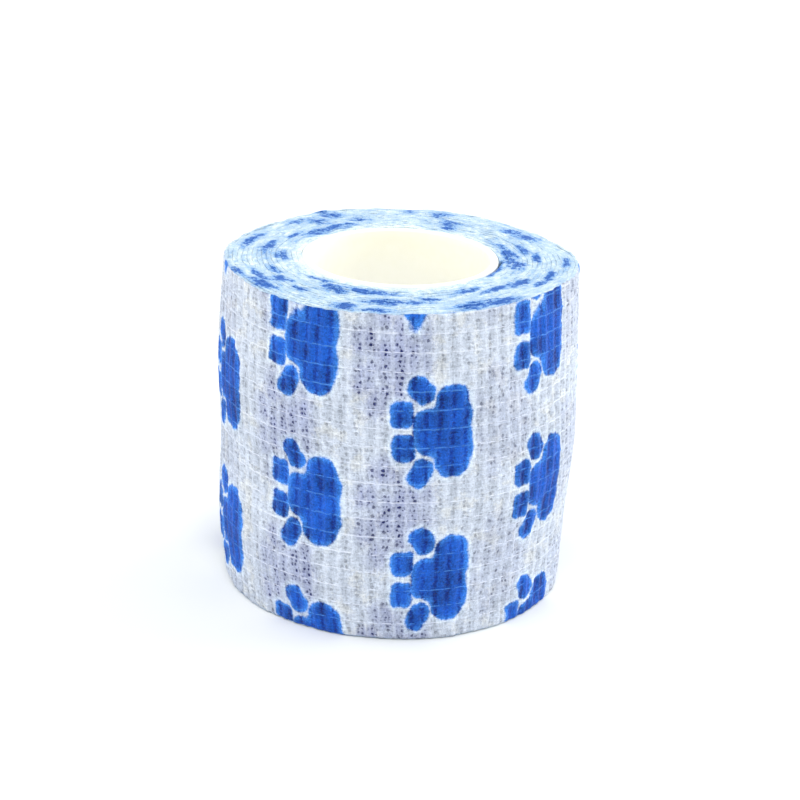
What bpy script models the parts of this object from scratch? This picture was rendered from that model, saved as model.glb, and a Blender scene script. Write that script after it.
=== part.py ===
"""A cohesive bandage roll: elastic crepe tape wound in a spiral on a short paper tube, standing on one end.

Two solids share one upright axis, near enough:
  bandage_roll  the wound tape as one body: its crepe ribs, its rolled-in rim, the step at the tape's end
  core_tube     the paper tube that the tape is wound on, open at both ends

Lengths are in metres and +Z is up.  The origin is the middle of the roll's outline, on the surface that it
stands on.  Azimuths run anticlockwise from +X, seen from above, and the front of the roll faces -Y.
"""
import math
from typing import NamedTuple

import bmesh
import bpy

MM = 0.001
FULL_TURN = 2.0 * math.pi

# The tape, and how it is wound.
TAPE_WIDTH = 50.0 * MM
LAYER_PITCH = 0.72 * MM
TAPE_END_AZIMUTH = math.radians(118.0)

# Crepe: upright ribs with a narrow groove between each two, deeper in some places round the roll.
RIB_COUNT = 86
POINTS_PER_RIB = 3
GROOVE_DEPTH = 0.26 * MM
GROOVE_VARIATION = 0.3
GROOVE_WAVES = 5

# The rims: rolled in at the top, squeezed a little at the foot.
TOP_RIM_RADIUS = 1.2 * MM
FOOT_RIM_RADIUS = 0.8 * MM
TOP_RIM_STEPS = 3
FOOT_RIM_STEPS = 2

# The upper end is a shallow dish towards the tube, and its rim isn't quite level.
TOP_DISH = 0.15 * MM

# The paper tube.  It stands a little forward in the roll, so the wound ring is thicker at the back.
CORE_RADIUS = 14.5 * MM
CORE_WALL = 1.2 * MM
CORE_CENTRE = (-0.45 * MM, -0.35 * MM)
CORE_EDGE = 0.25 * MM
CORE_SIDES = 96
FIT_GAP = 0.3 * MM

MERGE_DISTANCE = 0.001 * MM
SHARP_EDGE = math.radians(40.0)


class Level(NamedTuple):
    """The roll's outline at one height: its mean radius, and where its middle lies along X and Y."""
    height: float
    radius: float
    middle_x: float
    middle_y: float


LEVELS = (
    Level(height=0.0 * MM, radius=26.0 * MM, middle_x=-0.30 * MM, middle_y=-0.05 * MM),
    Level(height=10.0 * MM, radius=26.6 * MM, middle_x=-0.60 * MM, middle_y=-0.15 * MM),
    Level(height=22.5 * MM, radius=26.9 * MM, middle_x=-0.05 * MM, middle_y=-0.20 * MM),
    Level(height=35.0 * MM, radius=26.95 * MM, middle_x=-0.45 * MM, middle_y=-0.20 * MM),
    Level(height=50.0 * MM, radius=26.2 * MM, middle_x=-0.40 * MM, middle_y=-0.25 * MM),
)


class Rise(NamedTuple):
    """A place where the outer turns were wound a little high, or low where its height is below 0."""
    azimuth: float
    half_angle: float
    height: float


RISES = (
    Rise(azimuth=math.radians(-118.0), half_angle=math.radians(24.0), height=-0.30 * MM),
    Rise(azimuth=math.radians(-33.0), half_angle=math.radians(26.0), height=0.75 * MM),
    Rise(azimuth=math.radians(34.0), half_angle=math.radians(28.0), height=-0.75 * MM),
    Rise(azimuth=math.radians(93.0), half_angle=math.radians(20.0), height=-0.38 * MM),
    Rise(azimuth=math.radians(148.0), half_angle=math.radians(22.0), height=-0.65 * MM),
)


def clear_scene():
    for old in list(bpy.data.objects):
        bpy.data.objects.remove(old, do_unlink=True)


def through_levels(height, column):
    """One column of LEVELS at any height, on a smooth curve through the rows."""
    rows = [(level.height, getattr(level, column)) for level in LEVELS]
    last = len(rows) - 1
    low = max(i for i in range(last) if rows[i][0] <= height or i == 0)
    (z1, v1), (z2, v2) = rows[low], rows[low + 1]
    (z0, v0), (z3, v3) = rows[max(low - 1, 0)], rows[min(low + 2, last)]
    slope_low, slope_high = (v2 - v0) / (z2 - z0), (v3 - v1) / (z3 - z1)
    t, span = (height - z1) / (z2 - z1), z2 - z1
    return ((2 * t**3 - 3 * t**2 + 1) * v1 + (t**3 - 2 * t**2 + t) * span * slope_low
            + (3 * t**2 - 2 * t**3) * v2 + (t**3 - t**2) * span * slope_high)


def side_rows():
    """Heights up the outer side, each with how far the rounded rims draw it in there."""
    rows = []
    for step in range(FOOT_RIM_STEPS + 1):
        angle = 0.5 * math.pi * step / FOOT_RIM_STEPS
        rows.append((FOOT_RIM_RADIUS * (1 - math.cos(angle)), FOOT_RIM_RADIUS * (1 - math.sin(angle))))
    rows += [(level.height, 0.0) for level in LEVELS[1:-1]]
    for step in range(TOP_RIM_STEPS + 1):
        angle = 0.5 * math.pi * step / TOP_RIM_STEPS
        height = TAPE_WIDTH - TOP_RIM_RADIUS * (1 - math.sin(angle))
        rows.append((height, TOP_RIM_RADIUS * (1 - math.cos(angle))))
    return rows


def columns():
    """Azimuths round the roll with the turn each has made since the tape's end, 0 to 1.

    The first and the last column are both at the tape's end, under and over the last layer."""
    count = RIB_COUNT * POINTS_PER_RIB
    return [(TAPE_END_AZIMUTH + FULL_TURN * i / count, i / count) for i in range(count + 1)]


def groove(index, azimuth):
    """How deep the crepe is drawn in at a column: one of each rib's columns lies in the groove."""
    if index % POINTS_PER_RIB != 1:
        return 0.0
    return GROOVE_DEPTH * (1 + GROOVE_VARIATION * math.sin(GROOVE_WAVES * azimuth))


def top_rise(azimuth, radius):
    """How far the upper end lies above the tape's width, at an azimuth and a radius from the middle."""
    inner, outer = CORE_RADIUS, LEVELS[-1].radius
    towards_rim = min(max((radius - inner) / (outer - inner), 0.0), 1.0)
    rise = -TOP_DISH * (1 - towards_rim)
    for place in RISES:
        away = (azimuth - place.azimuth + math.pi) % FULL_TURN - math.pi
        rise += towards_rim**3 * place.height * math.exp(-(away / place.half_angle) ** 2)
    return rise


def roll_rings():
    """Closed loops of points from the foot's inner edge out, up the side, over the rim and down the bore."""
    bore = CORE_RADIUS + FIT_GAP
    cols = columns()

    def bore_ring(height_at):
        return [(CORE_CENTRE[0] + bore * math.cos(azimuth), CORE_CENTRE[1] + bore * math.sin(azimuth),
                 height_at(azimuth)) for azimuth, turned in cols]

    def side_ring(height, drawn_in):
        ring = []
        share = height / TAPE_WIDTH
        for index, (azimuth, turned) in enumerate(cols):
            radius = through_levels(height, "radius") - drawn_in + LAYER_PITCH * (turned - 0.5)
            radius -= groove(index, azimuth)
            ring.append((through_levels(height, "middle_x") + radius * math.cos(azimuth),
                         through_levels(height, "middle_y") + radius * math.sin(azimuth),
                         height + share**4 * top_rise(azimuth, radius)))
        return ring

    rings = [bore_ring(lambda azimuth: 0.0)]
    rings += [side_ring(height, drawn_in) for height, drawn_in in side_rows()]
    rings.append(bore_ring(lambda azimuth: TAPE_WIDTH + top_rise(azimuth, bore)))
    return rings


def core_rings():
    """The same closed loops for the tube, with its four edges slightly eased."""
    outer, inner = CORE_RADIUS, CORE_RADIUS - CORE_WALL
    profile = [
        (inner + CORE_EDGE, 0.0), (outer - CORE_EDGE, 0.0),
        (outer, CORE_EDGE), (outer, TAPE_WIDTH - CORE_EDGE),
        (outer - CORE_EDGE, TAPE_WIDTH), (inner + CORE_EDGE, TAPE_WIDTH),
        (inner, TAPE_WIDTH - CORE_EDGE), (inner, CORE_EDGE),
    ]
    middle_x, middle_y = CORE_CENTRE
    angles = [FULL_TURN * i / CORE_SIDES for i in range(CORE_SIDES)]
    return [[(middle_x + radius * math.cos(a), middle_y + radius * math.sin(a), z) for a in angles]
            for radius, z in profile]


def ring_solid(name, rings, material):
    """A closed body from loops of points, each joined to the next and the last to the first."""
    bm = bmesh.new()
    loops = [[bm.verts.new(point) for point in ring] for ring in rings]
    for low, high in zip(loops, loops[1:] + loops[:1]):
        for i, j in zip(range(len(low)), [*range(1, len(low)), 0]):
            bm.faces.new((low[i], low[j], high[j], high[i]))
    bmesh.ops.remove_doubles(bm, verts=bm.verts, dist=MERGE_DISTANCE)
    bmesh.ops.recalc_face_normals(bm, faces=bm.faces)
    mesh = bpy.data.meshes.new(name)
    bm.to_mesh(mesh)
    bm.free()
    mesh.materials.append(material)
    mesh.shade_smooth()
    mesh.set_sharp_from_angle(angle=SHARP_EDGE)
    body = bpy.data.objects.new(name, mesh)
    bpy.context.scene.collection.objects.link(body)
    return body


def plain_material(name, colour, roughness):
    material = bpy.data.materials.new(name)
    material.use_nodes = True
    shader = material.node_tree.nodes["Principled BSDF"]
    shader.inputs["Base Color"].default_value = (*colour, 1.0)
    shader.inputs["Roughness"].default_value = roughness
    shader.inputs["Metallic"].default_value = 0.0
    return material


def build():
    clear_scene()
    crepe = plain_material("crepe_tape", colour=(0.80, 0.83, 0.93), roughness=0.9)
    paper = plain_material("core_paper", colour=(0.93, 0.91, 0.80), roughness=0.85)
    ring_solid("bandage_roll", roll_rings(), crepe)
    ring_solid("core_tube", core_rings(), paper)


build()
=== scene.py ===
"""The looks of a cohesive bandage roll: crepe tape with blue paw prints, wound on an open paper tube.

The tape is modelled as it is wound.  Its inner turns show as edges on the two ends.  Its outermost turn has
the crepe's ribs and pockets as real relief, with elastic threads along it and a cut end flat at the back.
Lengths are in metres, +Z is up, and azimuths run anticlockwise from +X, seen from above.
"""
import math
from typing import NamedTuple

import bpy
import numpy as np
from mathutils import Matrix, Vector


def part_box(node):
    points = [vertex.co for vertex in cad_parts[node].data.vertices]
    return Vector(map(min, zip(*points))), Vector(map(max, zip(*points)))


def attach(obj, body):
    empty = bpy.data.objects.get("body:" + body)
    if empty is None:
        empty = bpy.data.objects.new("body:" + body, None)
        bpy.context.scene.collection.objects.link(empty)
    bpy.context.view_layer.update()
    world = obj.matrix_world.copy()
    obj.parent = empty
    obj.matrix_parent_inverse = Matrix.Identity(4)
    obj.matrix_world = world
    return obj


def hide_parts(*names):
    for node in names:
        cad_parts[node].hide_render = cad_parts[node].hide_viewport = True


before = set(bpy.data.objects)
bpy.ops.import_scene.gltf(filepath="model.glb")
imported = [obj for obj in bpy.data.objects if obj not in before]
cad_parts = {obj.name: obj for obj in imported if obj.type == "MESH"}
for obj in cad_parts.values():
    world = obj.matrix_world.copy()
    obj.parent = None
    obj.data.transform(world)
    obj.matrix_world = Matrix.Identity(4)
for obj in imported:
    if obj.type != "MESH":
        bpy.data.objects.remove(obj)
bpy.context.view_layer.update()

MM = 0.001
FULL_TURN = 2.0 * math.pi
CORE_LOW, CORE_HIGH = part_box("core_tube")

# ---- The wound form: the frame gives its place, and these sizes give the shape between ----
TAPE_WIDTH = CORE_HIGH.z - CORE_LOW.z
LAYER_PITCH = 0.72 * MM
TAPE_THICKNESS = 0.67 * MM
THICKEST = 0.90 * MM
LAYER_CLEARANCE = 0.008 * MM
TAPE_END_AZIMUTH = math.radians(118.0)
WHOLE_TURNS = 16
TURNS = WHOLE_TURNS + TAPE_END_AZIMUTH / FULL_TURN

CORE_RADIUS = 0.5 * (CORE_HIGH.x - CORE_LOW.x)
CORE_CENTRE = np.array([0.5 * (CORE_HIGH.x + CORE_LOW.x), 0.5 * (CORE_HIGH.y + CORE_LOW.y)])
CORE_WALL = 1.2 * MM
CORE_SIDES = 240
CORE_EASING = 0.3 * MM
CORE_EASING_STEPS = 4
CORE_ROWS_INSIDE = 45
CORE_ROW_MARGIN = 1.0 * MM

# The tube's inner ply is wound in a spiral, with a shallow step at its seam, as wide as this share of a turn.
CORE_SEAM_RISE = 31.0 * MM
CORE_SEAM_STEP = 0.05 * MM
CORE_SEAM_WIDTH = 0.015

TUBE_CLEARANCE = 0.06 * MM
FIRST_FACE = CORE_RADIUS + TUBE_CLEARANCE + TAPE_THICKNESS

# The turn at which the outermost turn passes the roll's front, and how finely the tape's length is summed up.
FRONT_TURN = WHOLE_TURNS - 0.25
LENGTH_SAMPLES = 6001

TOP_RIM_RADIUS = 0.35 * MM
FOOT_RIM_RADIUS = 0.5 * MM

# How deep below the edges the layers' wander reaches: whole down to the first depth, gone at the second.
WANDER_WHOLE_DEPTH = 1.0 * MM
WANDER_DEPTH = 4.0 * MM

# How far the tape's edges lie from its nominal width, on the inner turns and on the outermost one.
INNER_TOP_DROP = 0.10 * MM
INNER_FOOT_RISE = 0.12 * MM
OUTER_TOP_DROP = 0.02 * MM
OUTER_FOOT_RISE = 0.10 * MM

# The cut end stands off the layer below by this much, over about this length.
END_LIFT = 0.15 * MM
END_LIFT_LENGTH = 1.1 * MM


class Level(NamedTuple):
    """The roll's outline at one height: its mean radius, and where its middle lies along X and Y."""
    height: float
    radius: float
    middle_x: float
    middle_y: float


LEVELS = (
    Level(height=0.0 * MM, radius=26.0 * MM, middle_x=-0.30 * MM, middle_y=-0.05 * MM),
    Level(height=10.0 * MM, radius=26.6 * MM, middle_x=-0.60 * MM, middle_y=-0.15 * MM),
    Level(height=22.5 * MM, radius=26.9 * MM, middle_x=-0.05 * MM, middle_y=-0.20 * MM),
    Level(height=35.0 * MM, radius=26.95 * MM, middle_x=-0.45 * MM, middle_y=-0.20 * MM),
    Level(height=50.0 * MM, radius=26.2 * MM, middle_x=-0.40 * MM, middle_y=-0.25 * MM),
)


class Rise(NamedTuple):
    """A place, in degrees, where the outer turns were wound high, or low where its height is below 0."""
    azimuth: float
    half_angle: float
    height: float


RISES = (
    Rise(azimuth=-118.0, half_angle=24.0, height=-0.30 * MM),
    Rise(azimuth=-33.0, half_angle=26.0, height=0.75 * MM),
    Rise(azimuth=34.0, half_angle=28.0, height=-0.75 * MM),
    Rise(azimuth=93.0, half_angle=20.0, height=-0.38 * MM),
    Rise(azimuth=148.0, half_angle=22.0, height=-0.65 * MM),
)

# The first turns hug the tube and climb over the tape's beginning in the last part of each turn.
HUGGING_TURNS = 4
CLIMB_FROM = 0.84

SHARP_EDGE = math.radians(75.0)

# ---- The crepe: upright ribs, drawn in between the elastic threads to shallow pockets ----
RIB_PITCH = 1.95 * MM
POCKET_DEPTH = 0.25 * MM
POCKET_MEAN = 0.80
FIBRE_RELIEF = 0.04 * MM

# A rib's crest, between these heights of the even wave across the ribs.
CREST_FROM = 0.42
CREST_TO = 0.98

# The elastic threads, how far to their sides they gather the crepe, and how much shallower it is there.
THREAD_COUNT = 18
THREAD_PITCH = TAPE_WIDTH / THREAD_COUNT
THREAD_RADIUS = 0.07 * MM
THREAD_SUNK = 0.10 * MM
THREAD_GATHER = 0.26 * MM
THREAD_SHALLOWER = 0.42
THREAD_SECTION = ((1.0, 0.0), (0.0, 1.0), (-1.0, 0.0), (0.0, -1.0))

# How far the threads stick out of the cut end, in turns.
THREAD_END = 0.003

COLUMNS_PER_RIB = 7
ROWS_PER_THREAD = 7
COLUMNS_PER_TURN = 620

# The ribs and the print lean a little: the crepe isn't quite square to the tape's edge.
CREPE_LEAN = 0.034
LEAN_FROM_HEIGHT = 21.4 * MM

# ---- The print: one paw, repeated in upright columns, every second column half a step up ----
PAW_COLUMN_PITCH = 18.75 * MM
PAW_STEP = 22.95 * MM
PAW_FIRST_ARC = 7.5 * MM
PAW_FIRST_HEIGHT = 32.9 * MM

# The print of the layer below, which shows through: its shift along the tape, how much closer its columns
# lie, how it climbs and how low it sits, and how it fades to the right and the left.
GHOST_SHIFT = 13.25 * MM
GHOST_CLOSER = 1.13
GHOST_CLIMB = 0.10
GHOST_DROP = 0.8 * MM
GHOST_FADE_FROM = 4.0 * MM
GHOST_FADE_TO = 12.0 * MM
GHOST_LEFT_FROM = -18.5 * MM
GHOST_LEFT_TO = -23.0 * MM

# The rolled-in rim draws the print up, by this much at the second height and not at all below the first.
RIM_DRAW = 1.15 * MM
RIM_DRAW_FROM = 47.0 * MM
RIM_DRAW_TO = 49.6 * MM


class PrintShift(NamedTuple):
    """How far the print is off its even layout at one arc of the outermost turn, by the crepe's stretch."""
    arc: float
    along: float
    up: float


PRINT_SHIFTS = (
    PrintShift(arc=-30.0 * MM, along=-0.50 * MM, up=0.70 * MM),
    PrintShift(arc=-11.2 * MM, along=-0.50 * MM, up=-0.45 * MM),
    PrintShift(arc=7.5 * MM, along=0.0 * MM, up=0.0 * MM),
    PrintShift(arc=26.2 * MM, along=-0.25 * MM, up=0.25 * MM),
    PrintShift(arc=31.0 * MM, along=-0.25 * MM, up=0.25 * MM),
    PrintShift(arc=40.5 * MM, along=2.20 * MM, up=0.25 * MM),
)


class Blob(NamedTuple):
    """A rounded box of a motif, in millimetres from the motif's middle; tilt turns it anticlockwise."""
    x: float
    y: float
    half_width: float
    half_height: float
    corner: float
    tilt: float = 0.0


PAW_PAD = (
    Blob(x=1.4, y=3.4, half_width=2.45, half_height=3.45, corner=2.3),
    Blob(x=1.05, y=-3.2, half_width=2.6, half_height=3.65, corner=2.5),
    Blob(x=-0.95, y=0.1, half_width=3.35, half_height=3.4, corner=2.1),
    Blob(x=1.75, y=0.0, half_width=2.2, half_height=4.2, corner=1.0),
)
PAD_SOFTNESS = 1.5
PAW_TOES = (
    Blob(x=-3.05, y=6.3, half_width=1.6, half_height=2.1, corner=1.5, tilt=30.0),
    Blob(x=-5.7, y=2.75, half_width=1.5, half_height=1.85, corner=0.8, tilt=3.0),
    Blob(x=-5.7, y=-2.25, half_width=1.5, half_height=1.95, corner=0.9, tilt=-4.0),
    Blob(x=-3.55, y=-6.0, half_width=1.4, half_height=2.3, corner=1.3, tilt=-27.0),
)


class Soak(NamedTuple):
    """Ink soaked into the layers' upper edges, about the tube's middle, in degrees and millimetres.  One
    place, by the tube, is painted shadow instead.

    The angle and the depth are half the place's own, along the layers and across them."""
    azimuth: float
    radius: float
    angle: float
    depth: float
    strength: float = 1.0


SOAKS = (
    Soak(azimuth=-174.0, radius=17.4, angle=6.0, depth=0.8),
    Soak(azimuth=-157.0, radius=25.2, angle=4.5, depth=0.6),
    Soak(azimuth=-155.0, radius=19.6, angle=4.0, depth=0.5),
    Soak(azimuth=-150.0, radius=22.8, angle=8.0, depth=0.6),
    Soak(azimuth=-143.0, radius=20.6, angle=4.5, depth=0.9),
    Soak(azimuth=-142.0, radius=24.1, angle=6.0, depth=1.0),
    Soak(azimuth=-133.0, radius=16.5, angle=6.0, depth=0.5),
    Soak(azimuth=-131.0, radius=21.2, angle=4.0, depth=0.5),
    Soak(azimuth=-121.0, radius=18.0, angle=6.0, depth=1.0),
    Soak(azimuth=-115.0, radius=18.9, angle=2.5, depth=0.6),
    Soak(azimuth=-108.0, radius=24.0, angle=3.5, depth=1.5),
    Soak(azimuth=-104.0, radius=17.0, angle=11.0, depth=0.9),
    Soak(azimuth=-96.0, radius=24.4, angle=5.0, depth=0.8),
    Soak(azimuth=-96.0, radius=20.8, angle=6.0, depth=1.0),
    Soak(azimuth=-85.0, radius=20.6, angle=6.0, depth=0.8),
    Soak(azimuth=-77.0, radius=19.1, angle=4.0, depth=0.6),
    Soak(azimuth=-66.0, radius=25.0, angle=5.0, depth=0.6),
    Soak(azimuth=-62.0, radius=23.5, angle=7.0, depth=1.1),
    Soak(azimuth=-58.0, radius=17.6, angle=6.0, depth=0.8),
    Soak(azimuth=-54.0, radius=24.5, angle=5.5, depth=1.3),
    Soak(azimuth=-45.0, radius=19.7, angle=9.0, depth=0.7),
    Soak(azimuth=-32.0, radius=20.4, angle=8.0, depth=0.7),
    Soak(azimuth=-28.0, radius=22.9, angle=5.0, depth=0.5),
    Soak(azimuth=-20.0, radius=22.9, angle=7.0, depth=0.6),
    # Painted shadow: this place stands for the shadow in the thin gap between the tube and the first layer,
    # not for ink.
    Soak(azimuth=-18.0, radius=14.9, angle=18.0, depth=0.4, strength=1.35),
    Soak(azimuth=-7.0, radius=17.4, angle=8.0, depth=1.0),
    Soak(azimuth=-3.0, radius=24.4, angle=7.0, depth=0.5),
    Soak(azimuth=6.0, radius=20.3, angle=6.0, depth=0.6),
    Soak(azimuth=9.0, radius=16.2, angle=17.0, depth=1.1),
    Soak(azimuth=17.0, radius=19.0, angle=6.0, depth=0.7),
    Soak(azimuth=32.0, radius=22.6, angle=4.5, depth=1.6),
    Soak(azimuth=42.0, radius=22.7, angle=4.0, depth=1.3),
    Soak(azimuth=66.0, radius=17.4, angle=4.0, depth=0.9, strength=0.8),
    Soak(azimuth=68.0, radius=19.4, angle=6.0, depth=2.0, strength=0.6),
    Soak(azimuth=75.0, radius=23.4, angle=4.0, depth=2.0, strength=0.6),
    Soak(azimuth=87.0, radius=24.4, angle=2.5, depth=1.8, strength=0.55),
    Soak(azimuth=109.0, radius=20.2, angle=5.0, depth=2.2, strength=0.6),
    Soak(azimuth=118.0, radius=24.0, angle=5.0, depth=2.0, strength=0.65),
    Soak(azimuth=128.0, radius=21.0, angle=4.5, depth=2.2, strength=0.65),
    Soak(azimuth=134.0, radius=22.9, angle=3.5, depth=1.0, strength=0.8),
    Soak(azimuth=132.0, radius=16.8, angle=16.0, depth=1.0),
    Soak(azimuth=150.0, radius=18.5, angle=5.0, depth=0.6),
    Soak(azimuth=164.0, radius=23.4, angle=9.0, depth=0.7),
    Soak(azimuth=173.0, radius=19.8, angle=10.0, depth=0.8),
)

# How much further than its angle and depth a soaked place spreads, fading out.
SOAK_SPREAD = 1.22

# The first turns stay nearly bare: how deep they lie over the tube, and how much weaker the ink is there.
BARE_DEPTH = 1.4
BARE_STRENGTH = 0.30

# The lower end is soaked in the same way, turned round by this angle.
FOOT_SOAK_TURN = 137.0


# ---- Random unevenness ----
class Ripple(NamedTuple):
    """One size of unevenness: its reach, how far apart its bumps lie along and across, and its seed."""
    reach: float
    along: float
    seed: int
    across: float = 1.0


# Over the upper end: the layers' sideways wander, and the rise and fall that neighbouring layers share.
LAYER_WANDER = (
    Ripple(reach=0.16 * MM, along=4.0 * MM, across=4.0 * MM, seed=11),
    Ripple(reach=0.05 * MM, along=1.5 * MM, across=1.5 * MM, seed=12),
)
SHARED_RISES = (
    Ripple(reach=0.22 * MM, along=5.0 * MM, across=5.0 * MM, seed=13),
    Ripple(reach=0.10 * MM, along=1.8 * MM, across=1.8 * MM, seed=14),
)

# Over the crepe: the ribs' wander in ribs, the pockets' unequal depth as a share of it, and the fibres.
RIB_WANDER = (
    Ripple(reach=0.20, along=9.0 * MM, across=13.0 * MM, seed=21),
    Ripple(reach=0.09, along=2.2 * MM, across=2.1 * MM, seed=22),
)
POCKET_VARIATION = (
    Ripple(reach=0.35, along=2.6 * MM, across=2.7 * MM, seed=23),
    Ripple(reach=0.20, along=0.9 * MM, across=0.9 * MM, seed=24),
)
FIBRES = (Ripple(reach=FIBRE_RELIEF, along=1.1 * MM, across=0.8 * MM, seed=25),)
PANE_SEED = 26

# Along the inner turns' edges, where across counts turns, so that each turn has its own.
INNER_TOP = (
    Ripple(reach=0.03 * MM, along=9.0 * MM, across=1 / 7, seed=31),
    Ripple(reach=0.03 * MM, along=2.2 * MM, across=1 / 5, seed=32),
    Ripple(reach=0.04 * MM, along=0.8 * MM, across=1 / 3, seed=33),
    Ripple(reach=0.03 * MM, along=0.4 * MM, across=1 / 3, seed=34),
)
INNER_FOOT = (Ripple(reach=0.10 * MM, along=3.0 * MM, across=1 / 5, seed=37),)

# Along the outermost turn's edges.
OUTER_TOP = (
    Ripple(reach=0.14 * MM, along=8.0 * MM, seed=41),
    Ripple(reach=0.10 * MM, along=2.0 * MM, seed=42),
    Ripple(reach=0.06 * MM, along=0.8 * MM, seed=43),
)
OUTER_FOOT = (Ripple(reach=0.06 * MM, along=2.2 * MM, seed=44),)

# Along the elastic threads, where across counts threads: how high and how deep they lie.  Their free ends
# differ from thread to thread, in turns.
THREAD_HEIGHTS = (Ripple(reach=0.10 * MM, along=11.0 * MM, across=1 / 3.7, seed=51),)
THREAD_DEPTHS = (Ripple(reach=0.06 * MM, along=2.3 * MM, across=1 / 2.3, seed=52),)
THREAD_ENDS = (Ripple(reach=0.0015, along=1 / 1.7, seed=53),)


# ---- Small numeric helpers ----
def smoothstep(low, high, x):
    t = np.clip((x - low) / (high - low), 0.0, 1.0)
    return t * t * (3.0 - 2.0 * t)


def noise(x, y, seed):
    """Smooth random values from -1 to 1 over a plane, about one bump for each unit."""
    table = np.random.RandomState(seed).uniform(-1.0, 1.0, (256, 256))
    x, y = np.broadcast_arrays(np.asarray(x, float), np.asarray(y, float))
    xi, yi = np.floor(x).astype(int), np.floor(y).astype(int)
    fx, fy = x - xi, y - yi
    fx, fy = fx * fx * (3 - 2 * fx), fy * fy * (3 - 2 * fy)

    def at(i, j):
        return table[(xi + i) % 256, (yi + j) % 256]

    low = at(0, 0) * (1 - fx) + at(1, 0) * fx
    high = at(0, 1) * (1 - fx) + at(1, 1) * fx
    return low * (1 - fy) + high * fy


def uneven(ripples, x, y=0.0):
    """Some sizes of unevenness together, at places on a plane."""
    return sum(ripple.reach * noise(x / ripple.along, y / ripple.across, ripple.seed) for ripple in ripples)


def away_from(azimuth, angle):
    """How far an angle lies from an azimuth, from -180 to 180 degrees."""
    return (angle - azimuth + 180.0) % 360.0 - 180.0


def through_levels(height, column):
    """One column of LEVELS at any heights, on a smooth curve through the rows."""
    z = np.array([level.height for level in LEVELS])
    v = np.array([getattr(level, column) for level in LEVELS])
    slope = np.empty_like(v)
    slope[1:-1] = (v[2:] - v[:-2]) / (z[2:] - z[:-2])
    slope[0], slope[-1] = (v[1] - v[0]) / (z[1] - z[0]), (v[-1] - v[-2]) / (z[-1] - z[-2])
    height = np.clip(height, z[0], z[-1])
    low = np.clip(np.searchsorted(z, height, side="right") - 1, 0, len(z) - 2)
    span = z[low + 1] - z[low]
    t = (height - z[low]) / span
    return ((2 * t**3 - 3 * t**2 + 1) * v[low] + (t**3 - 2 * t**2 + t) * span * slope[low]
            + (3 * t**2 - 2 * t**3) * v[low + 1] + (t**3 - t**2) * span * slope[low + 1])


# ---- The spiral ----
def layers_laid(turn):
    """How many layers lie under the tape's outer face after so many turns, the top one included."""
    whole = np.floor(turn)
    part = turn - whole
    climb = smoothstep(CLIMB_FROM, 1.0, part)
    even = np.clip(whole / HUGGING_TURNS, 0.0, 1.0)
    return whole + climb * (1.0 - even) + part * even


def outer_radius(height):
    """The radius of the tape's outer face at its very end."""
    return through_levels(height, "radius") + 0.5 * LAYER_PITCH


def face_radius(turn, height):
    share = layers_laid(turn) / TURNS
    return FIRST_FACE + (outer_radius(height) - FIRST_FACE) * share


def spiral_middle(turn, height):
    """The spiral's axis, which drifts from the tube's middle to the outline's as the layers build up."""
    share = layers_laid(turn) / TURNS
    return [start + (through_levels(height, column) - start) * share
            for start, column in zip(CORE_CENTRE, ("middle_x", "middle_y"))]


def place(turn, height, radius):
    """The point at a turn, a height and a distance from the spiral's axis."""
    azimuth = FULL_TURN * turn
    middle_x, middle_y = spiral_middle(turn, height)
    height = np.broadcast_to(height, np.broadcast(azimuth, radius).shape)
    return np.stack([middle_x + radius * np.cos(azimuth), middle_y + radius * np.sin(azimuth), height], -1)


def under_radius(turn, height):
    """The radius of the tape's inner face, which lies on the turn below it, or on the tube."""
    below = np.maximum(turn - 1.0, 0.0)
    azimuth = FULL_TURN * turn
    middle_x, middle_y = spiral_middle(turn, height)
    below_x, below_y = spiral_middle(below, height)
    radius = np.where(turn < 1.0, CORE_RADIUS, face_radius(below, height))
    radius = radius + (below_x - middle_x) * np.cos(azimuth) + (below_y - middle_y) * np.sin(azimuth)
    return np.maximum(radius + LAYER_CLEARANCE, face_radius(turn, height) - THICKEST)


def eased(distance, rim_radius):
    """How far a rounded rim is drawn in, at a distance from the tape's edge."""
    into_rim = np.clip(rim_radius - distance, 0.0, rim_radius)
    return rim_radius - np.sqrt(rim_radius**2 - into_rim**2)


def rise_at(turn):
    """How far the tape's upper edge lies above its mean height, which shows most on the outer turns."""
    total = np.zeros_like(turn)
    for rise in RISES:
        away = away_from(rise.azimuth, 360.0 * turn)
        total = total + rise.height * np.exp(-((away / rise.half_angle) ** 2))
    return total * (turn / TURNS) ** 3


def on_upper_end(turn, radius):
    """Where a turn lies on the upper end, along X and along Y."""
    return np.moveaxis(place(turn, TAPE_WIDTH, radius)[..., :2], -1, 0)


def shared_unevenness(turn):
    """A rise and fall of the upper edge that neighbouring layers share."""
    return uneven(SHARED_RISES, *on_upper_end(turn, face_radius(turn, TAPE_WIDTH)))


def meander(turn, radius):
    """A sideways wander of the layers, the same for two faces that touch, so that they never cross."""
    return uneven(LAYER_WANDER, *on_upper_end(turn, radius))


def arc_at(turn):
    """Length along the tape's outer face, 0 at the roll's front on the outermost turn."""
    fine = np.linspace(0.0, TURNS, LENGTH_SAMPLES)
    radius = face_radius(fine, 0.5 * TAPE_WIDTH)
    run = np.concatenate([[0.0], np.cumsum(0.5 * (radius[1:] + radius[:-1]) * FULL_TURN * np.diff(fine))])
    return np.interp(turn, fine, run) - np.interp(FRONT_TURN, fine, run)


def print_shift(arc):
    """The print's shift along and up the tape."""
    arcs, along, up = np.array(PRINT_SHIFTS).T
    return np.interp(arc, arcs, along), np.interp(arc, arcs, up)


def along_crepe(arc, height):
    """The arc of a place on the leaning crepe, as if the crepe were square to the tape's edge."""
    return arc + CREPE_LEAN * (height - LEAN_FROM_HEIGHT)


# ---- The crepe's relief ----
def rib_phase(arc, height):
    """Counts the ribs along the tape, with their small wander from thread to thread."""
    return arc / RIB_PITCH + uneven(RIB_WANDER, arc, height)


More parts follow.
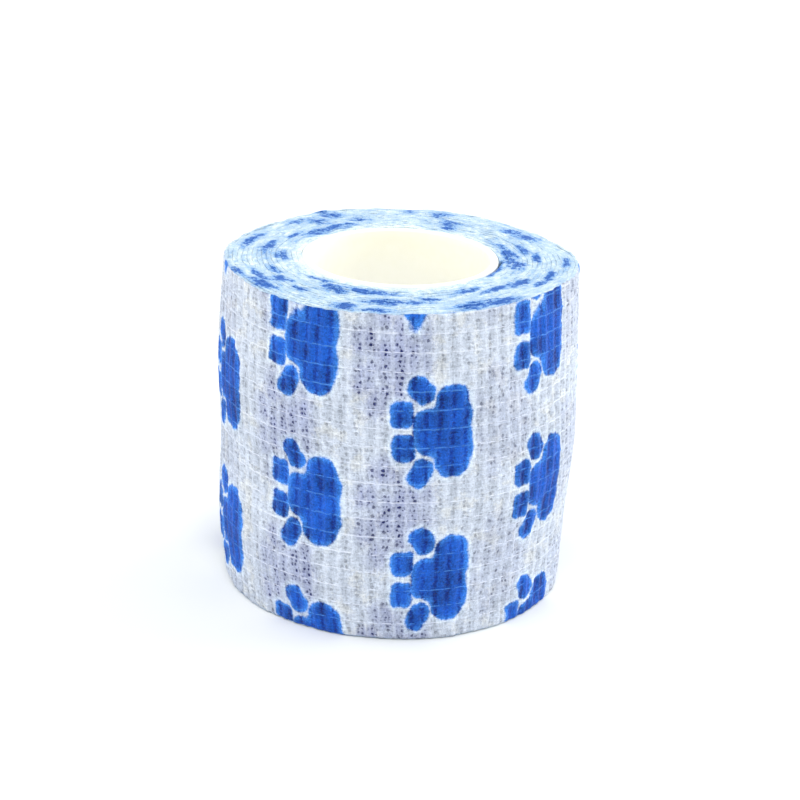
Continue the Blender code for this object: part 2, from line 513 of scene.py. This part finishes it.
def rib_wave(arc, height):
    """An even wave across the ribs: 1 on top of a rib, 0 halfway to the next one."""
    return 0.5 + 0.5 * np.cos(FULL_TURN * rib_phase(arc, height))


def at_thread(height):
    """1 on an elastic thread, falling to 0 between threads."""
    offset = (height / THREAD_PITCH) % 1.0
    distance = np.minimum(offset, 1.0 - offset) * THREAD_PITCH
    return np.exp(-((distance / THREAD_GATHER) ** 2))


def pane_tone(arc, height):
    """An even random tone for each pocket, between two ribs and two threads."""
    return 0.5 + 0.5 * noise(rib_phase(arc, height) - 0.5, height / THREAD_PITCH - 0.5, PANE_SEED)


def pocket_depth(arc, height):
    """How far the crepe lies below the ribs' crests."""
    crest = smoothstep(CREST_FROM, CREST_TO, rib_wave(arc, height))
    depth = POCKET_DEPTH * (POCKET_MEAN + uneven(POCKET_VARIATION, arc, height))
    drawn = depth * (1.0 - crest) * (1.0 - THREAD_SHALLOWER * at_thread(height))
    return drawn + FIBRE_RELIEF + uneven(FIBRES, arc, height)


def soaked_at(points, turned=0.0):
    """How much ink has soaked in at points of an end, up to 1, the places turned by an angle in degrees.  One
    place is painted shadow beside the tube.
    """
    x, y = ((points[..., axis] - CORE_CENTRE[axis]) / MM for axis in (0, 1))
    azimuth, radius = np.degrees(np.arctan2(y, x)) - turned, np.hypot(x, y)
    strongest = np.zeros_like(radius)
    for soak in SOAKS:
        away = away_from(soak.azimuth, azimuth)
        fade = (away / soak.angle) ** 2 + ((radius - soak.radius) / soak.depth) ** 2
        strongest = np.maximum(strongest, soak.strength * np.exp(-fade / SOAK_SPREAD**2))
    bare = np.exp(-(((radius - CORE_RADIUS / MM) / BARE_DEPTH) ** 2))
    return strongest - BARE_STRENGTH * bare


# ---- Meshes ----
def add_object(name, data):
    added = bpy.data.objects.new(name, data)
    bpy.context.scene.collection.objects.link(added)
    return added


def new_piece(name, points, faces, material, **vectors):
    """A mesh with a material, and with named vectors for each of its points that the material reads."""
    mesh = bpy.data.meshes.new(name)
    mesh.from_pydata(points.reshape(-1, 3), [], faces)
    for label, values in vectors.items():
        layer = mesh.attributes.new(label, "FLOAT_VECTOR", "POINT")
        layer.data.foreach_set("vector", np.asarray(values, np.float32).ravel())
    mesh.materials.append(material)
    mesh.shade_smooth()
    mesh.set_sharp_from_angle(angle=SHARP_EDGE)
    return add_object(name, mesh)


def band_faces(rows, columns, first=0):
    """Faces of a long closed band whose points go row by row round its section, with its two ends capped."""
    index = first + np.arange(rows * columns).reshape(rows, columns)
    after = np.roll(index, -1, axis=0)
    quads = np.stack([index[:, :-1], index[:, 1:], after[:, 1:], after[:, :-1]], -1).reshape(-1, 4)
    return quads.tolist() + [index[:, 0].tolist(), index[::-1, -1].tolist()]


def ring_faces(rows, columns):
    """Faces of a ring that is closed both round its section and round its axis."""
    index = np.arange(rows * columns).reshape(rows, columns)
    beside = np.roll(index, -1, axis=1)
    quads = np.stack([index, beside, np.roll(beside, -1, axis=0), np.roll(index, -1, axis=0)], -1)
    return quads.reshape(-1, 4).tolist()


class TapeRows:
    """The rows of points round a tape's section, gathered one by one."""

    def __init__(self, turn, arc):
        self.turn, self.arc = turn, arc
        self.points, self.tape, self.crepe = [], [], []

    def add(self, radius, height, across, relief=0.5, thread=0.0, tone=None, print_height=None):
        """One row: its place, and where on the tape it lies, across being 0 on the outer face and 1 inside.

        A row at an edge gets no tone of its own: there the number says how much ink has soaked in."""
        height = np.broadcast_to(height, self.turn.shape)
        print_height = height if print_height is None else np.broadcast_to(print_height, self.turn.shape)
        shift_along, shift_up = print_shift(self.arc)
        along = along_crepe(self.arc, print_height) - shift_along
        self.points.append(place(self.turn, height, radius))
        self.tape.append(self._columns(along / MM, (print_height - shift_up) / MM, across))
        if tone is None:
            at_foot = float(np.mean(height)) < 0.5 * TAPE_WIDTH
            tone = soaked_at(self.points[-1], FOOT_SOAK_TURN if at_foot else 0.0)
        self.crepe.append(self._columns(relief, thread, tone))

    def _columns(self, *values):
        return np.stack([np.broadcast_to(value, self.turn.shape) for value in values], -1)

    def piece(self, name, material):
        points = np.array(self.points)
        faces = band_faces(*points.shape[:2])
        return new_piece(name, points, faces, material, tape=self.tape, crepe=self.crepe)


class EdgeRow(NamedTuple):
    """A row of points on a tape's edge: how far across the thickness and how far in from the edge it lies."""
    across: float
    inset: float


EDGE_ROWS = (
    EdgeRow(across=0.02, inset=0.02 * MM),
    EdgeRow(across=0.50, inset=0.0 * MM),
    EdgeRow(across=0.98, inset=0.02 * MM),
)

# On the outermost turn the edge is flatter, by this factor, and the crepe's own rows stop short of it.
OUTER_INSET = 0.7
CREPE_MARGIN = 0.14 * MM

# The rows of points on the outermost turn's inner face, downwards, as shares of the tape's width.
UNDER_ROWS = (0.985, 0.8, 0.6, 0.4, 0.2, 0.015)

# Where the inner turns' outer faces show at all, between two edges, they have the edges' colours.
HIDDEN_SIDE = 0.2

# The inner turns' faces have one row of points this far in from each edge, and nothing between the two.
INNER_ROW = 0.5 * MM

# The heights on the print that the inner turns' upper and lower edges show.
PRINT_AT_TOP = TAPE_WIDTH - 0.8 * MM
PRINT_AT_FOOT = 0.5 * MM


def inner_turns(material):
    """All the turns under the outermost one.  Only their edges show, at the upper and the lower end."""
    last = TURNS - 1.0
    turn = np.linspace(0.0, last, int(round(last * COLUMNS_PER_TURN)))
    arc = arc_at(turn)
    top = TAPE_WIDTH - INNER_TOP_DROP + rise_at(turn) + shared_unevenness(turn) + uneven(INNER_TOP, arc, turn)
    foot = INNER_FOOT_RISE + uneven(INNER_FOOT, arc, turn)
    face, under = face_radius(turn, TAPE_WIDTH), under_radius(turn, TAPE_WIDTH)
    face, under = face + meander(turn, face), under + meander(turn, under)

    rows = TapeRows(turn, arc)
    rows.add(face, foot + INNER_ROW, across=HIDDEN_SIDE, print_height=PRINT_AT_FOOT)
    rows.add(face, top - INNER_ROW, across=HIDDEN_SIDE, print_height=PRINT_AT_TOP)
    for across, inset in EDGE_ROWS:
        rows.add(face + across * (under - face), top - inset, across, print_height=PRINT_AT_TOP)
    rows.add(under, top - INNER_ROW, across=1.0, print_height=PRINT_AT_TOP)
    rows.add(under, foot + INNER_ROW, across=1.0, print_height=PRINT_AT_FOOT)
    for across, inset in reversed(EDGE_ROWS):
        rows.add(face + across * (under - face), foot + inset, across, print_height=PRINT_AT_FOOT)
    return rows.piece("tape_inner_turns", material), float(arc[-1] - arc[0])


class OuterTurn:
    """The form of the outermost turn, between its edges and from its beginning to its cut end."""

    def __init__(self, turn):
        self.turn, self.arc = turn, arc_at(turn)
        self.top = TAPE_WIDTH - OUTER_TOP_DROP + rise_at(turn) + uneven(OUTER_TOP, self.arc)
        self.foot = OUTER_FOOT_RISE + uneven(OUTER_FOOT, self.arc)
        self.lift = END_LIFT * np.exp(-(arc_at(TURNS) - self.arc) / END_LIFT_LENGTH)

    def _loose(self, height, radius):
        """The lift of the cut end, and the layers' wander, which shows only near the tape's edges."""
        from_edge = np.minimum(self.top - height, height - self.foot)
        near_edge = 1.0 - smoothstep(WANDER_WHOLE_DEPTH, WANDER_DEPTH, from_edge)
        return radius + self.lift + near_edge * meander(self.turn, radius)

    def face(self, height):
        rims = eased(self.top - height, TOP_RIM_RADIUS) + eased(height - self.foot, FOOT_RIM_RADIUS)
        return self._loose(height, face_radius(self.turn, height)) - rims

    def under(self, height):
        return self._loose(height, under_radius(self.turn, height))

    def between(self, height, across):
        """The radius at a share of the way from the outer face to the inner one."""
        face = self.face(height)
        return face + across * (self.under(height) - face)


def outer_turn(material):
    """The outermost turn, with the crepe's relief on its outer face and its cut end at the back."""
    first = TURNS - 1.0
    length = float(arc_at(TURNS) - arc_at(first))
    turn = np.linspace(first, TURNS, int(round(length / RIB_PITCH * COLUMNS_PER_RIB)) + 1)
    form = OuterTurn(turn)

    rows = TapeRows(turn, form.arc)
    count = THREAD_COUNT * ROWS_PER_THREAD
    low, high = form.foot + CREPE_MARGIN, form.top - CREPE_MARGIN
    for step in range(count + 1):
        height = low + (high - low) * step / count
        along = along_crepe(form.arc, height)
        rows.add(form.face(height) - pocket_depth(along, height), height, across=0.0,
                 relief=rib_wave(along, height), thread=at_thread(height), tone=pane_tone(along, height))
    for across, inset in EDGE_ROWS:
        height = form.top - OUTER_INSET * inset
        rows.add(form.between(height, across), height, across)
    for share in UNDER_ROWS:
        height = form.foot + (form.top - form.foot) * share
        rows.add(form.under(height), height, across=1.0)
    for across, inset in reversed(EDGE_ROWS):
        height = form.foot + OUTER_INSET * inset
        rows.add(form.between(height, across), height, across)
    return rows.piece("tape_outer_turn", material), length


# What the crepe's material reads on a thread: the relief, how near a thread it is, and the tone.
THREAD_CREPE = (0.6, 1.0, 0.5)


def elastic_threads(material):
    """The threads along the outermost turn: each lies in the crepe and sticks out a little at the cut end."""
    points, tape, faces = [], [], []
    for number in range(1, THREAD_COUNT):
        reach = THREAD_END + float(uneven(THREAD_ENDS, number))
        form = OuterTurn(np.linspace(TURNS - 1.0, TURNS + reach, COLUMNS_PER_TURN))
        height = number * THREAD_PITCH + uneven(THREAD_HEIGHTS, form.arc, number)
        along = along_crepe(form.arc, height)
        sunk = THREAD_SUNK + uneven(THREAD_DEPTHS, form.arc, number) + 0.5 * pocket_depth(along, height)
        radius = form.face(height) - sunk
        shift_along, shift_up = print_shift(form.arc)
        on_tape = np.stack([along - shift_along, height - shift_up, np.zeros_like(along)], -1) / MM
        faces += band_faces(len(THREAD_SECTION), COLUMNS_PER_TURN, first=len(points) * COLUMNS_PER_TURN)
        for out, up in THREAD_SECTION:
            points.append(place(form.turn, height + up * THREAD_RADIUS, radius + out * THREAD_RADIUS))
            tape.append(on_tape)
    points = np.array(points)
    crepe = np.broadcast_to(THREAD_CREPE, points.shape)
    return new_piece("elastic_threads", points, faces, material, tape=tape, crepe=crepe)


def wall_section():
    """The section of the tube's wall as (radius, height), anticlockwise from the foot of its outer side."""
    outer, inner = CORE_RADIUS, CORE_RADIUS - CORE_WALL
    low, high = CORE_EASING, TAPE_WIDTH - CORE_EASING
    right, left = outer - CORE_EASING, inner + CORE_EASING
    corners = ((right, low), (right, high), (left, high), (left, low))
    section = []
    for number, (radius, height) in enumerate(corners):
        for step in range(CORE_EASING_STEPS + 1):
            angle = 0.5 * math.pi * (number - 1 + step / CORE_EASING_STEPS)
            section.append((radius + CORE_EASING * math.cos(angle), height + CORE_EASING * math.sin(angle)))
        if (radius, height) == (left, high):
            down = np.linspace(high - CORE_ROW_MARGIN, low + CORE_ROW_MARGIN, CORE_ROWS_INSIDE)
            section += [(inner, z) for z in down]
    return np.array(section)


def core_tube(material):
    """The paper tube, with eased edges and the shallow spiral step of its inner ply."""
    azimuth = np.linspace(0.0, FULL_TURN, CORE_SIDES, endpoint=False)
    section = wall_section()
    radius, height = (section[:, [column]] + np.zeros_like(azimuth) for column in (0, 1))
    seam = (height / CORE_SEAM_RISE - azimuth / FULL_TURN) % 1.0
    inside = radius < CORE_RADIUS - 0.6 * CORE_WALL
    step = CORE_SEAM_STEP * smoothstep(0.0, CORE_SEAM_WIDTH, seam) * (1.0 - seam)
    radius = radius + np.where(inside, step, 0.0)
    points = np.stack([CORE_CENTRE[0] + radius * np.cos(azimuth), CORE_CENTRE[1] + radius * np.sin(azimuth),
                       CORE_LOW.z + height], -1)
    paper = np.stack([seam, height / TAPE_WIDTH, inside + np.zeros_like(seam)], -1)
    return new_piece("core_paper_tube", points, ring_faces(*points.shape[:2]), material, paper=paper)


# ---- Materials ----
class Graph:
    """The nodes of one material."""

    def __init__(self, name):
        self.material = bpy.data.materials.new(name)
        self.material.use_nodes = True
        self.tree = self.material.node_tree
        self.shader = self.tree.nodes["Principled BSDF"]

    def add(self, kind, feeds=(), **settings):
        """A node with its settings, and with its inputs fed by name or by number."""
        node = self.tree.nodes.new(kind)
        for key, value in settings.items():
            setattr(node, key, value)
        for key, value in dict(feeds).items():
            self.feed(value, node.inputs[key])
        return node

    def feed(self, value, socket):
        """Links a number or a socket to another socket, or sets a plain value on it."""
        value = getattr(value, "socket", value)
        if isinstance(value, bpy.types.NodeSocket):
            self.tree.links.new(value, socket)
        else:
            socket.default_value = value

    def surface(self, name, value):
        """Feeds the shader: a plain number or colour is set on the shader's own socket."""
        self.feed(value, self.shader.inputs[name])

    def numbers(self, name):
        """The three numbers of one of the mesh's named vectors."""
        return self.split(self.add("ShaderNodeAttribute", attribute_name=name).outputs["Vector"])

    def split(self, vector):
        node = self.add("ShaderNodeSeparateXYZ", {0: vector})
        return [Number(self, socket) for socket in node.outputs]

    def join(self, x, y, z=0.0):
        return self.add("ShaderNodeCombineXYZ", {0: x, 1: y, 2: z}).outputs[0]

    def scaled(self, vector, factor):
        node = self.add("ShaderNodeVectorMath", {"Vector": vector, "Scale": factor}, operation="SCALE")
        return node.outputs["Vector"]

    def vector(self, operation, *vectors):
        node = self.add("ShaderNodeVectorMath", enumerate(vectors), operation=operation)
        return node.outputs["Value" if operation == "LENGTH" else "Vector"]

    def step(self, value, low, high, to_low=0.0, to_high=1.0):
        """A smooth ramp from low to high, clamped at both ends."""
        feeds = {"Value": value, "From Min": low, "From Max": high, "To Min": to_low, "To Max": to_high}
        node = self.add("ShaderNodeMapRange", feeds, interpolation_type="SMOOTHSTEP")
        return Number(self, node.outputs["Result"])

    def noise(self, vector, scale, detail=2.0, roughness=0.5):
        feeds = {"Vector": vector, "Scale": scale, "Detail": detail, "Roughness": roughness}
        return Number(self, self.add("ShaderNodeTexNoise", feeds).outputs["Fac"])

    def cells(self, vector, randomness):
        feeds = {"Vector": vector, "Scale": 1.0, "Randomness": randomness}
        node = self.add("ShaderNodeTexVoronoi", feeds, feature="F1", voronoi_dimensions="2D")
        return Number(self, node.outputs["Distance"]), self.split(node.outputs["Color"])[0]

    def bump(self, height, distance, strength=1.0):
        feeds = {"Height": height, "Distance": distance, "Strength": strength}
        return self.add("ShaderNodeBump", feeds).outputs["Normal"]

    def mix(self, factor, a, b):
        """Colour a where factor is 0, b where it is 1."""
        node = self.add("ShaderNodeMix", {"Factor": factor}, data_type="RGBA")
        for value, name in ((a, "A"), (b, "B")):
            socket = next(s for s in node.inputs if s.type == "RGBA" and s.name == name)
            self.feed((*value, 1.0) if isinstance(value, tuple) else value, socket)
        return next(s for s in node.outputs if s.type == "RGBA")


class Number:
    """A number inside a material: arithmetic on it adds Math nodes."""

    def __init__(self, graph, socket):
        self.graph, self.socket = graph, socket

    def _do(self, operation, *values):
        node = self.graph.add("ShaderNodeMath", enumerate(values), operation=operation)
        return Number(self.graph, node.outputs[0])

    def __add__(self, other):
        return self._do("ADD", self, other)

    def __sub__(self, other):
        return self._do("SUBTRACT", self, other)

    def __rsub__(self, other):
        return self._do("SUBTRACT", other, self)

    def __mul__(self, other):
        return self._do("MULTIPLY", self, other)

    def __truediv__(self, other):
        return self._do("DIVIDE", self, other)

    __radd__, __rmul__ = __add__, __mul__

    def floor(self):
        return self._do("FLOOR", self)

    def wrapped(self, size):
        """The rest after whole sizes, from 0 up to size, for negative numbers too."""
        return self._do("FLOORED_MODULO", self, size)

    def least(self, other):
        return self._do("MINIMUM", self, other)

    def most(self, other):
        return self._do("MAXIMUM", self, other)

    def softly_least(self, other, width):
        return self._do("SMOOTH_MIN", self, other, width)


def blob_distance(graph, point, blob):
    """How far point lies outside a blob, in millimetres, below 0 inside it."""
    moved = graph.vector("SUBTRACT", point, (blob.x, blob.y, 0.0))
    if blob.tilt:
        feeds = {"Vector": moved, "Angle": math.radians(-blob.tilt)}
        moved = graph.add("ShaderNodeVectorRotate", feeds, rotation_type="Z_AXIS").outputs["Vector"]
    folded = graph.vector("ABSOLUTE", moved)
    corner = (blob.half_width - blob.corner, blob.half_height - blob.corner, 0.0)
    past = graph.vector("MAXIMUM", graph.vector("SUBTRACT", folded, corner), (0.0, 0.0, 0.0))
    return Number(graph, graph.vector("LENGTH", past)) - blob.corner


def paw_distance(graph, arc, height):
    """How far a place on the tape lies outside the nearest paw print, in millimetres."""
    pitch, step = PAW_COLUMN_PITCH / MM, PAW_STEP / MM
    from_first = arc - PAW_FIRST_ARC / MM + 0.5 * pitch
    column = (from_first / pitch).floor()
    half_step = column.wrapped(2.0) * (0.5 * step)
    x = from_first.wrapped(pitch) - 0.5 * pitch
    y = (height - PAW_FIRST_HEIGHT / MM + half_step + 0.5 * step).wrapped(step) - 0.5 * step
    point = graph.join(x, y)
    distance = blob_distance(graph, point, PAW_PAD[0])
    for blob in PAW_PAD[1:]:
        distance = distance.softly_least(blob_distance(graph, point, blob), PAD_SOFTNESS)
    for blob in PAW_TOES:
        distance = distance.least(blob_distance(graph, point, blob))
    return distance


# Painted light and shade: the crepe's crests are coloured lighter and its pockets darker, for the shade that
# falls between the ribs.
CREPE_CREST_LIT = (0.580, 0.637, 0.735)
CREPE_POCKET_SHADE = (0.520, 0.575, 0.670)
GHOST_TINT = (0.33, 0.37, 0.54)
CREPE_WARM = (0.635, 0.65, 0.64)
# Painted shade: the dark of the pores, the gaps between fibres; over the print of the layer below, that print
# seen through them in shade.
PORE_SHADE = (0.20, 0.22, 0.27)
PORE_SHADE_OVER_INK = (0.022, 0.030, 0.13)
HALO = (0.70, 0.82, 0.94)
INK_CREST = (0.008, 0.078, 0.405)
# Painted shade: the ink's colour deep in the grooves, darker for the shade that falls there.
INK_GROOVE_SHADE = (0.001, 0.026, 0.235)
INK_BORDER = (0.045, 0.21, 0.62)
THREAD_PALE = (0.82, 0.86, 0.96)
THREAD_OVER_INK = (0.15, 0.44, 0.92)
EDGE_PALE = (0.71, 0.81, 0.80)
EDGE_SHADE = (0.38, 0.53, 0.69)
EDGE_BLUE = (0.17, 0.35, 0.66)
EDGE_INK = (0.018, 0.110, 0.42)

# The radius at which the noise round the roll has its true length, in millimetres.
MIDDLE_LAYER = 20.0


def round_the_roll(graph, around, inwards):
    """A place for noise that bends round the roll: its features are so long and so deep, in millimetres."""
    where = graph.add("ShaderNodeTexCoord").outputs["Object"]
    flat = graph.vector("MULTIPLY", where, (1.0 / MM, 1.0 / MM, 0.0))
    from_middle = graph.vector("SUBTRACT", flat, (*(CORE_CENTRE / MM), 0.0))
    circle = graph.scaled(graph.vector("NORMALIZE", from_middle), MIDDLE_LAYER / around)
    x, y = graph.split(circle)[:2]
    return graph.join(x, y, Number(graph, graph.vector("LENGTH", from_middle)) / inwards)


class CrepeGraph(Graph):
    """The crepe's nodes.  They read where a place lies on the tape, and how it lies in the crepe's relief."""

    def __init__(self):
        super().__init__("crepe_tape")
        self.arc, self.height, self.across = self.numbers("tape")
        self.relief, self.thread, self.tone = self.numbers("crepe")

        # Random unevenness from single fibres to wide patches, each from -0.5 to 0.5.
        self.spot = self.join(self.arc, self.height, self.across * (TAPE_THICKNESS / MM))
        self.lint = self.noise(self.spot, 2.4, detail=3.0, roughness=0.75) - 0.5
        self.fleck = self.noise(self.spot, 4.6, detail=2.0, roughness=0.7) - 0.5
        self.drift = self.noise(self.spot, 0.5, detail=1.0) - 0.5
        self.patch = self.noise(self.spot, 0.35, detail=2.0) - 0.5
        self.fibre = self.noise(self.join(self.arc * 2.8, self.height * 0.7), 1.0, detail=2.0) - 0.5
        self.weft = self.noise(self.join(self.arc * 0.6, self.height * 3.2), 1.0, detail=1.0) - 0.5

        self.crest = self.step(self.relief + self.lint * 0.8, 0.50, 1.0)
        # Painted shade: this mask marks where the crepe lies deep, off the threads, to darken its colour
        # there.
        low = self.step(self.relief + self.lint * 0.9 + self.tone * 0.25, 0.55, 0.0)
        self.groove_shade = low * (1.0 - self.thread)

    def from_print(self):
        """The distance to the print.  Its edge wanders a little, and the rolled-in rim draws it up."""
        drawn_up = self.step(self.height, RIM_DRAW_FROM / MM, RIM_DRAW_TO / MM) * (RIM_DRAW / MM)
        height = self.height + self.drift * 0.6 - drawn_up
        return paw_distance(self, self.arc + self.drift * 0.8, height) + self.lint * 0.6

    def print_below(self):
        """How strongly the print of the layer below shows through."""
        arc = self.arc * GHOST_CLOSER - GHOST_SHIFT / MM
        height = self.height - self.arc * GHOST_CLIMB + GHOST_DROP / MM
        distance = paw_distance(self, arc + self.drift * 1.6, height + self.drift * 1.6)
        right = self.step(self.arc, GHOST_FADE_TO / MM, GHOST_FADE_FROM / MM, 0.4, 1.0)
        left = self.step(self.arc, GHOST_LEFT_TO / MM, GHOST_LEFT_FROM / MM, 0.3, 1.0)
        shows = self.step(distance + self.lint * 2.0, 1.7, -0.9)
        return shows * (1.0 + self.patch * 1.8) * right * left

    def pores(self, ghost):
        """Where the fibres part, as dark gaps of painted shade: in the pockets, and most over the print of
        the layer below.
        """
        place_of = self.join(self.arc + self.drift, self.height + self.lint * 0.3)
        nearest, chance = self.cells(self.vector("MULTIPLY", place_of, (1.40, 1.30, 0.0)), 0.6)
        pore = self.step(nearest - (0.12 + chance * 0.19) + self.fleck * 0.42, 0.10, -0.08)
        open_enough = self.step(chance, 0.2, 0.9, 0.3, 1.0).most(ghost * 0.78)
        return pore * self.step(self.relief, 0.8, 0.2, 0.4, 1.0) * open_enough

    def cloth(self, distance, ghost, pore):
        """The bare crepe, with warmer patches, the lilac haze of the layer below, pores, and a pale line
        around the print.  Its pockets carry painted shade and its crests painted light."""
        # Painted shade in the pockets, painted light on the crests.
        colour = self.mix(self.crest, CREPE_POCKET_SHADE, CREPE_CREST_LIT)
        colour = self.mix(self.step(self.patch + self.lint * 0.5, 0.0, 0.16) * 0.6, colour, CREPE_WARM)
        colour = self.mix(ghost * (0.80 - self.crest * 0.2), colour, GHOST_TINT)
        # Painted shade: the pores darkened; over the print below, its blue seen through them.
        colour = self.mix(pore * (0.50 + ghost * 0.45), colour, self.mix(ghost, PORE_SHADE, PORE_SHADE_OVER_INK))
        colour = self.mix(self.step(distance, 1.0, 0.3) * 0.45, colour, HALO)
        # Painted shade: the grooves darken the cloth here; the pane tone and the patches vary it at random.
        shade = 0.925 + self.tone * 0.14 + self.patch * 0.1 - self.groove_shade * 0.10
        grain = self.lint * 0.50 + self.fleck * 0.80 + self.fibre * 0.65 + self.weft * 0.50
        return self.scaled(colour, shade + grain)

    def printed(self, distance):
        """The inked crepe: the ink is thinner and brighter along the print's edge, and darker in grooves,
        where shade is painted into its colour.
        """
        colour = self.mix(self.step(distance, -1.0, 0.1) * 0.75, INK_CREST, INK_BORDER)
        colour = self.mix(self.groove_shade * 0.95, colour, INK_GROOVE_SHADE)
        grain = self.lint * 1.6 + self.fleck * 1.8 + self.fibre * 0.8 + self.weft * 0.7
        return self.scaled(colour, 0.74 + self.tone * 0.68 + grain)

    def with_threads(self, colour, ink):
        """The same colour with the threads, which show paler than the cloth and the ink, here and there."""
        shows = self.step(self.noise(self.spot, 0.9, detail=1.0), 0.30, 0.52)
        line = self.step(self.thread, 0.66, 0.95) * shows
        pale = self.mix(ink, THREAD_PALE, THREAD_OVER_INK)
        return self.mix(line * (0.54 - ink * 0.20), colour, pale)

    def cut_edge(self):
        """The cooler cut edges, with ink soaked into them: there tone says how much."""
        cloud = round_the_roll(self, around=2.2, inwards=0.9)
        cluster = self.noise(cloud, 1.0, detail=4.0, roughness=0.66) - 0.5
        along_edge = self.join(self.arc, self.across * 0.3)
        streak = self.noise(along_edge, 0.9, detail=4.0, roughness=0.75) - 0.5
        haze = self.tone * 0.88 + cluster * (1.5 + self.tone * 0.7) + streak * 1.1 + self.lint * 0.6
        soaked = self.tone * 0.72 + cluster * (0.7 + self.tone * 1.3)
        soaked = soaked + streak * (0.9 + self.tone * 2.1) + self.lint * (0.4 + self.tone)
        colour = self.mix(self.step(haze, -0.40, 0.20), EDGE_PALE, EDGE_SHADE)
        colour = self.mix(self.step(haze, 0.12, 0.54), colour, EDGE_BLUE)
        colour = self.mix(self.step(soaked, 0.33, 0.56), colour, EDGE_INK)
        return self.scaled(colour, 0.97 + self.fleck * 0.9 + self.lint * 0.3)


def crepe_material():
    graph = CrepeGraph()
    distance, ghost = graph.from_print(), graph.print_below()
    pore, ink = graph.pores(ghost), graph.step(distance, 0.34, -0.10)
    colour = graph.mix(ink, graph.cloth(distance, ghost, pore), graph.printed(distance))
    colour = graph.with_threads(colour, ink)
    colour = graph.mix(graph.step(graph.across, 0.0, 0.02), colour, graph.cut_edge())
    graph.surface("Base Color", colour)
    graph.surface("Roughness", graph.step(graph.lint, -0.25, 0.25, 0.92, 0.66))
    graph.surface("Specular IOR Level", 0.15)
    graph.surface("Sheen Weight", 0.08)
    graph.surface("Sheen Roughness", 0.5)
    graph.surface("Normal", graph.bump(graph.lint * 0.9 + graph.fleck * 0.7 - pore * 0.8, 0.14 * MM))
    return graph.material


PAPER_WARM = (0.935, 0.92, 0.785)
PAPER_PALE = (0.955, 0.945, 0.845)
# Painted light: the tube's inside is paler and whiter deeper down, for the light that falls into the bore.
PAPER_DEEP_LIT = (0.99, 0.99, 0.955)
PAPER_RIM = (0.71, 0.755, 0.75)
PAPER_SEAM = (0.72, 0.67, 0.54)


def paper_material():
    graph = Graph("core_paper")
    where = graph.add("ShaderNodeTexCoord").outputs["Object"]
    seam, height, inside = graph.numbers("paper")
    pulp = graph.noise(where, 900.0, detail=4.0, roughness=0.6)
    cloudy = graph.noise(where, 120.0, detail=2.0)
    colour = graph.mix(graph.step(cloudy * 0.6 + pulp * 0.4, 0.3, 0.7), PAPER_WARM, PAPER_PALE)
    line = graph.step(seam, 0.02, 0.0) + graph.step(seam, 0.985, 1.0)
    # Painted light: paler down the inside of the tube.
    colour = graph.mix(graph.step(height, 0.98, 0.70), colour, PAPER_DEEP_LIT)
    colour = graph.mix(line * inside * 0.22, colour, PAPER_SEAM)
    colour = graph.mix(graph.step(inside, 0.6, 0.2), colour, PAPER_RIM)
    graph.surface("Base Color", colour)
    graph.surface("Roughness", graph.step(pulp, 0.3, 0.7, 0.70, 0.88))
    graph.surface("Specular IOR Level", 0.3)
    graph.surface("Normal", graph.bump(pulp, 0.03 * MM, 0.6))
    return graph.material


def floor_material():
    graph = Graph("pale_floor")
    graph.surface("Base Color", (0.775, 0.79, 0.795, 1.0))
    graph.surface("Roughness", 0.9)
    graph.surface("Specular IOR Level", 0.1)
    return graph.material


# ---- Stage, lights and camera ----
FLOOR_REACH = 4.0
FLOOR_DROP = 0.02 * MM


def add_floor():
    mesh = bpy.data.meshes.new("floor")
    corners = ((-1, -1), (1, -1), (1, 1), (-1, 1))
    points = [(x * FLOOR_REACH, y * FLOOR_REACH, -FLOOR_DROP) for x, y in corners]
    mesh.from_pydata(points, [], [(0, 1, 2, 3)])
    mesh.materials.append(floor_material())
    floor = add_object("floor", mesh)


def add_lamp(name, azimuth, elevation, strength, softness):
    """A broad, distant lamp in the direction of an azimuth and an elevation; all angles in degrees."""
    data = bpy.data.lights.new(name, "SUN")
    data.energy, data.angle = strength, math.radians(softness)
    lamp = add_object(name, data)
    lamp.rotation_euler = (math.radians(90.0 - elevation), 0.0, math.radians(azimuth + 90.0))


def add_lights():
    world = bpy.data.worlds.new("studio")
    bpy.context.scene.world = world
    world.use_nodes = True
    background = world.node_tree.nodes["Background"]
    background.inputs["Color"].default_value = (0.985, 0.993, 1.0, 1.0)
    background.inputs["Strength"].default_value = 1.0
    add_lamp("key", azimuth=-88.0, elevation=58.0, strength=1.08, softness=30.0)
    add_lamp("left", azimuth=175.0, elevation=25.0, strength=0.80, softness=50.0)
    add_lamp("right", azimuth=25.0, elevation=22.0, strength=2.0, softness=50.0)
    bpy.context.scene.view_settings.view_transform = "Standard"
    bpy.context.scene.view_settings.look = "None"


LENS = 90.0
SENSOR_WIDTH = 36.0
CAMERA_ELEVATION = math.radians(21.55)
CAMERA_ROLL = math.radians(2.1)
CAMERA_DISTANCE = 301.9 * MM
CAMERA_TARGET = (0.31 * MM, -0.75 * MM, 27.4 * MM)


def add_camera():
    data = bpy.data.cameras.new("camera")
    data.lens, data.sensor_width, data.sensor_fit = LENS, SENSOR_WIDTH, "HORIZONTAL"
    data.clip_start, data.clip_end = 0.01, 20.0
    camera = add_object("camera", data)
    turned = Matrix.Rotation(0.5 * math.pi - CAMERA_ELEVATION, 4, "X") @ Matrix.Rotation(CAMERA_ROLL, 4, "Z")
    back = turned.to_3x3().col[2]
    stand = [target + step * CAMERA_DISTANCE for target, step in zip(CAMERA_TARGET, back)]
    camera.matrix_world = Matrix.Translation(stand) @ turned
    bpy.context.scene.camera = camera


def main():
    add_camera()
    crepe, paper = crepe_material(), paper_material()
    inner, inner_length = inner_turns(crepe)
    outer, outer_length = outer_turn(crepe)
    threads = elastic_threads(crepe)
    tube = core_tube(paper)
    for piece in (inner, outer, threads, tube):
        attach(piece, "root")
    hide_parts("bandage_roll")
    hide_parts("bandage_roll")
    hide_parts("core_tube")
    add_floor()
    add_lights()


main()
